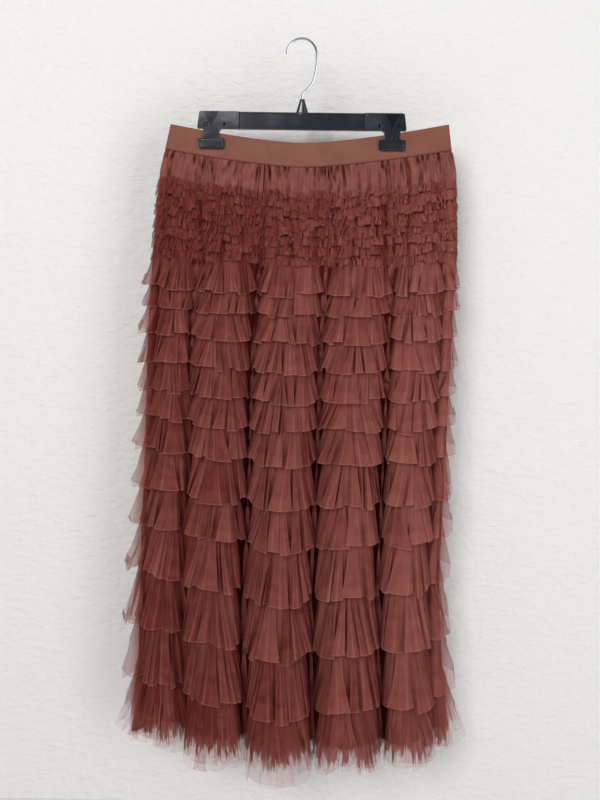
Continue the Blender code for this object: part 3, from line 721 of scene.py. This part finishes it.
def net_finish(name, cover, edge_cover, heading=None, frayed=None, painted_shade_offset=0.0, fold_highlight=0.45,
               shade_colour=PAINTED_SHADE_NET):
    """Soft net: crossed threads, streaks along the gathers, fold lines and a cut edge that are
    denser and drawn lighter as painted highlight. The faint glow stands for light that comes
    through the layers. Painted shade darkens its hollows, each column's turned side and the net
    towards the hem; painted light brightens it towards the right and where it is thin. A heading
    (how deep it is) fades into its stitches; a frayed net (lowest and highest point, cover below)
    thins out in uneven points."""
    material, shader, start = finish_named(name, Roughness=1.0, Specular_IOR_Level=0.0,
                                           Emission_Strength=LAYER_GLOW)
    cloth = start.made_by("UVMap", {"uv_map": "cloth"}, {})
    along = start.made_by("SeparateXYZ", {}, {"Vector": cloth}, 0)
    above = start.made_by("SeparateXYZ", {}, {"Vector": cloth}, 1)
    lie = start.made_by("Attribute", {"attribute_name": "lie"}, {}, 1)
    pleat = start.made_by("SeparateXYZ", {}, {"Vector": lie}, 0)
    fold = start.made_by("SeparateXYZ", {}, {"Vector": lie}, 1)
    side = start.made_by("SeparateXYZ", {}, {"Vector": lie}, 2)
    stretched = start.made_by("Mapping", {}, {"Vector": cloth, "Scale": (240, 16, 1)})
    streak = start.made_by("TexNoise", {}, {"Vector": stretched, "Scale": 1.0, "Detail": 3.0})
    streak = streak.between(0.34, 0.66)
    cloud = start.made_by("TexNoise", {}, {"Vector": cloth, "Scale": 60.0, "Detail": 5.0})
    cloud = cloud.between(0.32, 0.68)
    stand = start.made_by("TexCoord", {}, {}, 3)
    rising = start.math("PINGPONG", (along + above) * 620, 0.5)
    falling = start.math("PINGPONG", (along - above) * 620, 0.5)
    thread = 1 - start.math("MINIMUM", rising, falling).between(0.05, 0.21)
    spread, thin = cover, side
    if frayed:
        low, high, below = frayed
        spikes = start.made_by("TexNoise", {"noise_dimensions": "1D"}, {
            "W": along * 90, "Detail": 2.0, "Roughness": 0.5})
        hanging = start.made_by("Mapping", {}, {"Vector": stand, "Scale": (130, 130, 22)})
        torn = start.made_by("TexNoise", {}, {"Vector": hanging, "Scale": 1.0, "Detail": 2.0})
        ragged = spikes.between(0.34, 0.64) * 0.3 + torn.between(0.36, 0.64) * 0.7
        dense = (above - low - ragged * (high - low)).between(-0.005, 0.007)
        spread = below + dense * (cover - below)
        thin = start.math("MAXIMUM", side, 1 - dense)
    alpha = spread * (0.73 + thread * 0.48) * (0.94 + streak * 0.10)
    alpha = alpha * (1 - side * 0.60) + fold * 0.10
    edge = 1 - above.between(0.0006, 0.0014)
    alpha = alpha + edge * (edge_cover - cover)
    if heading:
        upper, uneven = heading
        alpha = alpha * (1 - (above - upper + cloud * uneven).between(-0.0022, 0.0))
        alpha = alpha * (0.55 + above.between(0.0, 0.0025) * 0.45)
    # Painted shade: hollows found by occlusion are drawn towards a dark red.
    depth = start.made_by("AmbientOcclusion", {"samples": 4}, {"Distance": 0.011}, 1)
    across = start.made_by("SeparateXYZ", {}, {"Vector": stand}, 0)
    height = start.made_by("SeparateXYZ", {}, {"Vector": stand}, 2)
    # Painted light and shade: besides its random tone, the net is drawn lighter towards the right,
    # darker towards the hem, and darker on each column's turned-back side (from the lie
    # attribute).
    tone = cloud * 0.28 + streak * 0.12 + pleat * 0.17 + across * 1.5
    tone = tone + height.between(-1.15, -0.70) * 0.27 + (0.04 - painted_shade_offset)
    lit = tone.blend(DARK_NET, LIGHT_NET)
    # Fold lines and the cut edge, where the net lies double, are drawn lighter, partly as painted
    # highlight.
    lit = ((fold + edge) * fold_highlight).blend(lit, DOUBLED_AND_HIGHLIT_NET)
    shaded = depth.between(0.08, 0.70).blend(shade_colour, lit)
    # Painted light: thin net at the sides and in the frayed hem is drawn lighter and redder, for
    # light that passes through it, and loses most of its painted shade.
    feed(shader, Alpha=alpha, Emission_Color=lit,
         Base_Color=(thin * 0.8).blend(shaded, LIT_THROUGH_NET))
    return material


# The yoke's net is drawn darker as painted shade, with fainter painted highlights on its folds.
yoke_looks = dict(painted_shade_offset=0.20, fold_highlight=0.10, shade_colour=(0.112, 0.015, 0.012, 1))
first_net = net_finish("first_yoke_net", 0.80, 0.80, heading=(0.0175, 0.009), **yoke_looks)
yoke_net = net_finish("yoke_net", 0.80, 0.80, heading=(0.0185, 0.002), **yoke_looks)
net = net_finish("gathered_net", 0.72, 0.90)
outer_frayed = net_finish("outer_frayed_net", 0.50, 0.60, frayed=(0.034, 0.062, 0.13))
frayed_net = net_finish("frayed_net", 0.70, 0.80, frayed=(0.016, 0.044, 0.12))
hem_net = net_finish("hem_net", 0.98, 0.40, frayed=(0.004, 0.030, 0.12))

YOKE_TOP, YOKE_PITCH, YOKE_DROP, YOKE_FLARE = -0.2085, 0.01375, 0.0185, 0.0034
for number in range(1, 9):
    top = YOKE_TOP - YOKE_PITCH * (number - 1)
    ruffle(f"yoke_ruffle_{number:02d}_net", [f"yoke_ruffle_{number:02d}"], top, top - YOKE_DROP,
           YOKE_FLARE, (0.004, 0.011), (0.001, 0.0030), first_net if number == 1 else yoke_net,
           100 + number, step=0.0016, rows=9, uneven=0.0045, gather=0.0020, lean=0.006, swell=0.9,
           crumple=0.0018, wobble=0.0020)

TIERS = (
    # height of the hem, how far it stands out from the base
    (-0.364, 0.012),
    (-0.394, 0.012),
    (-0.432, 0.013),
    (-0.476, 0.014),
    (-0.519, 0.014),
    (-0.563, 0.015),
    (-0.612, 0.016),
    (-0.677, 0.017),
    (-0.740, 0.018),
    (-0.821, 0.020),
    (-0.911, 0.021),
    (-1.003, 0.022),
)
FIRST_TIER_TOP, TIER_OVERLAP = -0.3185, 0.012
top = FIRST_TIER_TOP
for number, (hem, flare) in enumerate(TIERS, 1):
    ruffle(f"tier_{number:02d}_net", [f"tier_{number:02d}"], top, hem, flare,
           (0.009, 0.026), (0.003 + 0.0001 * number, 0.0065 + 0.0003 * number), net,
           200 + number, room=1.03 - 0.003 * number, outward=0.8 + 0.2 * (number == 12))
    top = hem + TIER_OVERLAP

# The last tier has three layers, the densest one innermost, which end in a frayed, sheer hem.
ruffle("tier_13_net", ["tier_13"], top, -1.120, 0.026, (0.020, 0.050), (0.003, 0.008),
       outer_frayed, 213, uneven=0.008, room=0.94, outward=1.4)
ruffle("tier_13_under_net", ["tier_13"], top, -1.110, 0.020, (0.008, 0.022), (0.003, 0.007),
       frayed_net, 214, uneven=0.012, room=0.94, outward=1.4)
ruffle("tier_13_inner_net", ["tier_13"], top, -1.102, 0.014, (0.004, 0.011), (0.002, 0.005),
       hem_net, 215, uneven=0.010, room=0.97, lowest_hem=BASE_COLUMN)
